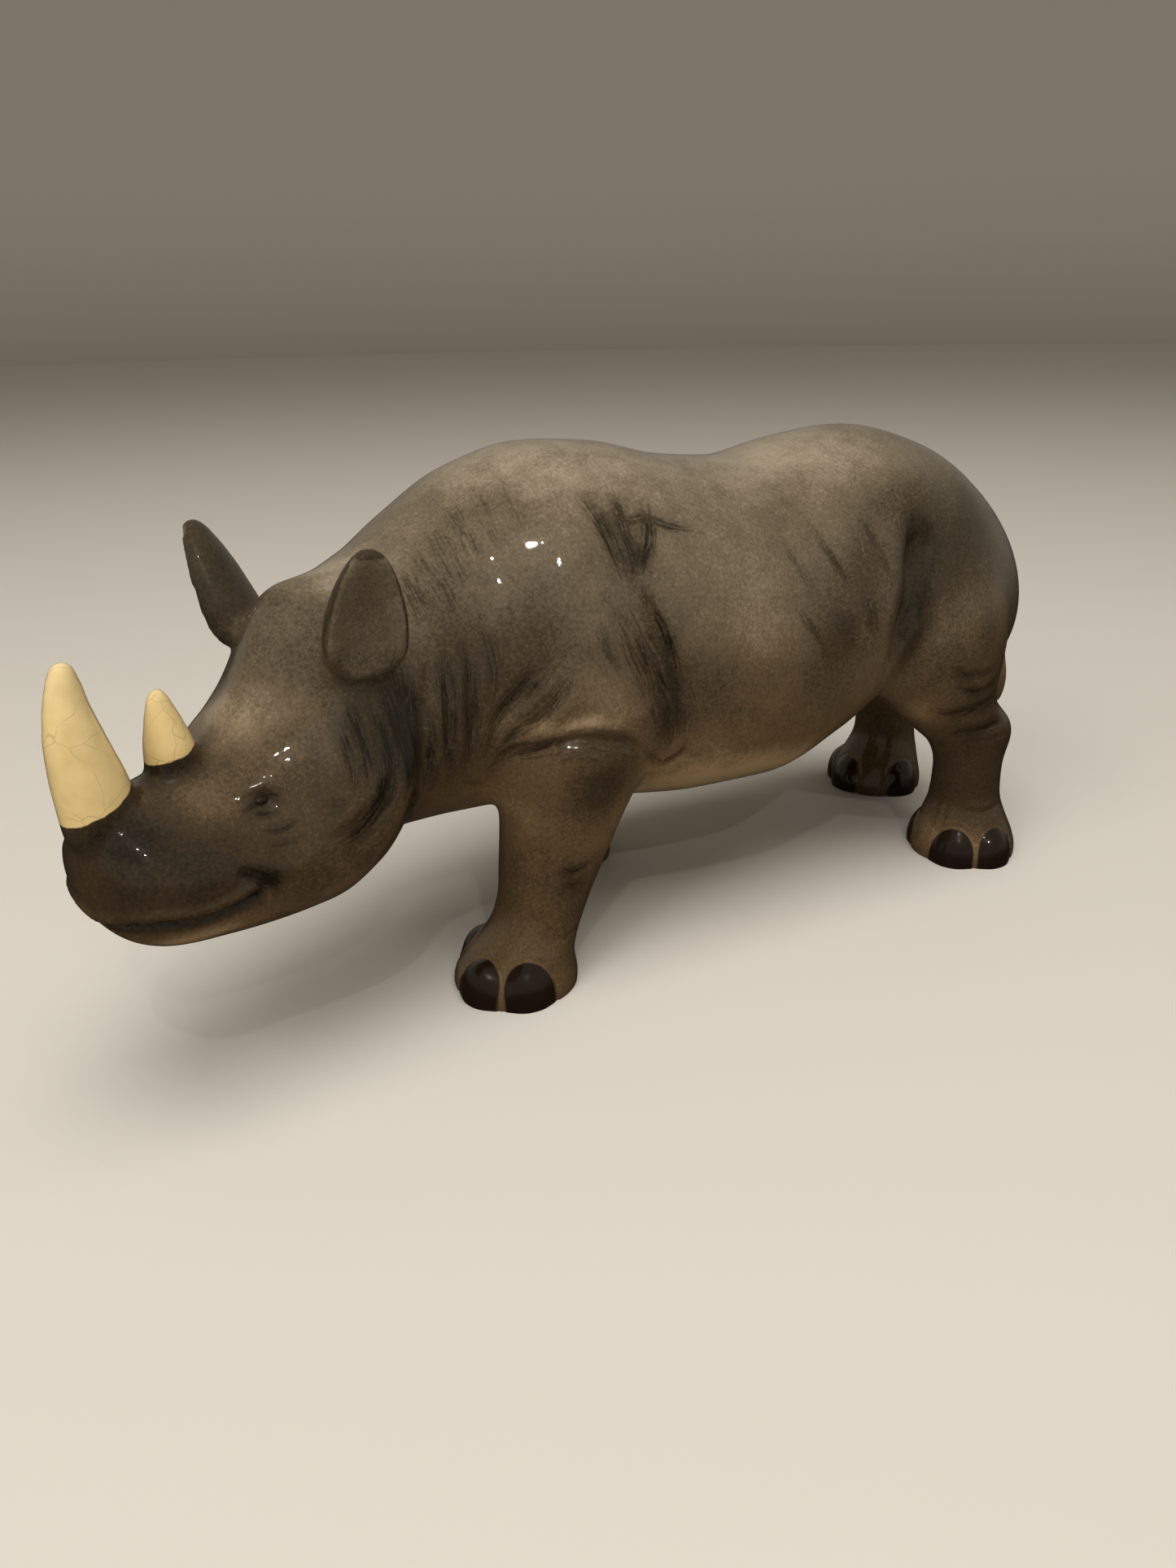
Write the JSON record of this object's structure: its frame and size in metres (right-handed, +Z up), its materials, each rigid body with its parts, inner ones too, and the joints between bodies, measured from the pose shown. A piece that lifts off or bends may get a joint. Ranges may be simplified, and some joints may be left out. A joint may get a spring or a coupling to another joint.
{
  "type": "rhinoceros figurine",
  "caption": "Glossy glazed earthenware rhinoceros with cream horns, walking on flat soles with its head turned to its left; stands free as a shelf ornament.",
  "frame": {"origin": "on the ground, under the middle of the figure's outline", "axes": "+X the way the body faces, +Y to the animal's left, +Z up"},
  "size_m": [0.2452, 0.0896, 0.1146],
  "materials": {
    "glaze": "clear gloss glaze, lightly crazed, over airbrushed brown-grey underglaze; cream horns and brown-black nails"
  },
  "bodies": {
    "root": {"rhinoceros": "glaze"}
  },
  "joints": []
}
